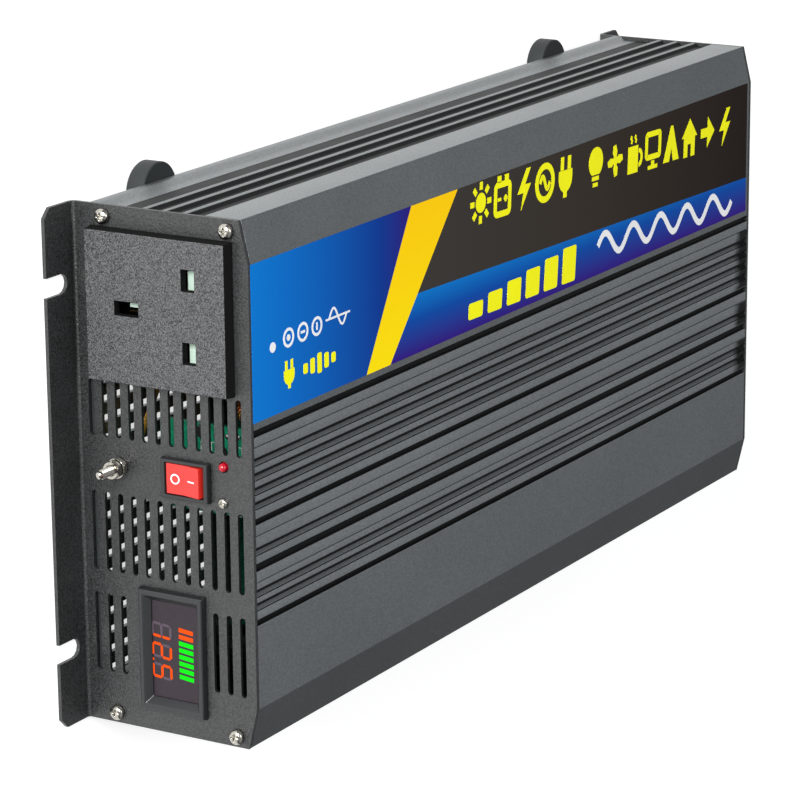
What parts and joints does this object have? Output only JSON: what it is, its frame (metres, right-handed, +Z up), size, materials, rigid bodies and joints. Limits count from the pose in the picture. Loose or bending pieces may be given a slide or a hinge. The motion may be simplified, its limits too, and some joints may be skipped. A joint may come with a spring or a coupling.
{
  "type": "power inverter",
  "caption": "Flat finned aluminium case that turns battery current into mains: outlet, switch and meter at one end, fans and battery terminals at the other.",
  "frame": {"origin": "under the middle of the case, in the plane of the feet and of the mounting flanges' undersides", "axes": "+Z up out of the finned cover, -Y out of the panel with the mains outlet, +Y out of the panel with the fans and battery terminals"},
  "size_m": [0.175, 0.372, 0.0636],
  "materials": {
    "anodised_grey": "dark grey anodised extrusion, brushed along its length",
    "powder_charcoal": "fine textured charcoal powder coat",
    "outlet_grey": "dark grey moulding with a coarse spark texture",
    "black_plastic": "satin black moulding",
    "foot_rubber": "matt dark grey rubber",
    "chrome_steel": "bright plated steel",
    "brass": "bright brass",
    "copper": "bare and enamelled copper",
    "rocker_red": "bright translucent red with white moulded marks",
    "lamp_red": "clear red lens",
    "terminal_red": "red moulding",
    "shutter_white": "greenish white moulding",
    "meter_glass": "smoked purple-grey window with lit orange and green segments",
    "board_green": "green solder mask",
    "ferrite_grey": "dark ferrite with yellow tape",
    "raw_aluminium": "plain drawn bar"
  },
  "bodies": {
    "case": {"top_cover": "anodised_grey", "base_plate": "anodised_grey", "front_panel": "powder_charcoal", "rear_panel": "powder_charcoal", "foot_front_left": "foot_rubber", "foot_front_right": "foot_rubber", "foot_rear_left": "foot_rubber", "foot_rear_right": "foot_rubber", "front_screw_low_left": "chrome_steel", "front_screw_low_right": "chrome_steel", "front_screw_high_left": "chrome_steel", "front_screw_high_right": "chrome_steel", "rear_screw_low_left": "chrome_steel", "rear_screw_low_right": "chrome_steel", "rear_screw_high_left": "chrome_steel", "rear_screw_high_right": "chrome_steel", "outlet_housing": "outlet_grey", "outlet_back": "black_plastic", "outlet_line_contact": "brass", "outlet_neutral_contact": "brass", "outlet_earth_contact": "brass", "switch_frame": "black_plastic", "power_lamp": "lamp_red", "board_screw": "chrome_steel", "earth_stud": "chrome_steel", "earth_lock_nut": "chrome_steel", "meter_bezel": "black_plastic", "meter_window": "meter_glass", "meter_board": "board_green", "positive_stud": "brass", "negative_stud": "brass", "positive_insulator": "terminal_red", "negative_insulator": "black_plastic", "fan_frame_left": "black_plastic", "fan_frame_right": "black_plastic", "main_board": "board_green", "control_board": "board_green", "front_transformer": "ferrite_grey", "rear_transformer": "ferrite_grey", "output_choke": "copper", "bus_capacitor_left": "black_plastic", "bus_capacitor_right": "black_plastic", "input_capacitor_left": "black_plastic", "input_capacitor_right": "black_plastic", "heat_bar_left": "raw_aluminium", "heat_bar_right": "raw_aluminium", "positive_busbar": "copper", "negative_busbar": "copper"},
    "rocker": {"switch_rocker": "rocker_red"},
    "shutter": {"outlet_shutter": "shutter_white"},
    "earth_clamp": {"earth_washer": "chrome_steel"},
    "earth_clamp_nut": {"earth_nut": "chrome_steel"},
    "positive_clamp": {"positive_washer": "brass"},
    "positive_clamp_knob": {"positive_knob": "terminal_red"},
    "negative_clamp": {"negative_washer": "brass"},
    "negative_clamp_knob": {"negative_knob": "black_plastic"},
    "left_fan": {"fan_rotor_left": "black_plastic"},
    "right_fan": {"fan_rotor_right": "black_plastic"}
  },
  "joints": [
    {"name": "rocker_tilt", "type": "hinge", "parent": "case", "child": "rocker", "pos_m": [-0.0005, -0.17025, 0.0403], "axis": [-1, 0, 0], "range_deg": [0, 12]},
    {"name": "shutter_lift", "type": "slide", "parent": "case", "child": "shutter", "axis": [0, 0, 1], "range_m": [0, 0.0053], "stiffness_N_per_m": 40, "springref_m": -0.004},
    {"name": "earth_nut_turn", "type": "hinge", "parent": "earth_clamp", "child": "earth_clamp_nut", "pos_m": [-0.0013, -0.175, 0.0163], "axis": [0, -1, 0], "range_deg": [0, 2160]},
    {"name": "earth_clamp_travel", "type": "slide", "parent": "case", "child": "earth_clamp", "axis": [0, -1, 0], "range_m": [0, 0.003]},
    {"name": "positive_knob_turn", "type": "hinge", "parent": "positive_clamp", "child": "positive_clamp_knob", "pos_m": [-0.0708, 0.17175, 0.04], "axis": [0, 1, 0], "range_deg": [0, 1080]},
    {"name": "positive_clamp_travel", "type": "slide", "parent": "case", "child": "positive_clamp", "axis": [0, 1, 0], "range_m": [0, 0.00375]},
    {"name": "negative_knob_turn", "type": "hinge", "parent": "negative_clamp", "child": "negative_clamp_knob", "pos_m": [0.0708, 0.17175, 0.04], "axis": [0, 1, 0], "range_deg": [0, 1080]},
    {"name": "negative_clamp_travel", "type": "slide", "parent": "case", "child": "negative_clamp", "axis": [0, 1, 0], "range_m": [0, 0.00375]},
    {"name": "left_fan_spin", "type": "hinge", "parent": "case", "child": "left_fan", "pos_m": [-0.0262, 0.163, 0.0348], "axis": [0, 1, 0], "continuous": true},
    {"name": "right_fan_spin", "type": "hinge", "parent": "case", "child": "right_fan", "pos_m": [0.0262, 0.163, 0.0348], "axis": [0, 1, 0], "continuous": true}
  ],
  "couplings": [
    {"joint": "earth_nut_turn", "follows": "earth_clamp_travel", "rad_per_m": 12566},
    {"joint": "positive_knob_turn", "follows": "positive_clamp_travel", "rad_per_m": 5026.5},
    {"joint": "negative_knob_turn", "follows": "negative_clamp_travel", "rad_per_m": 5026.5}
  ]
}
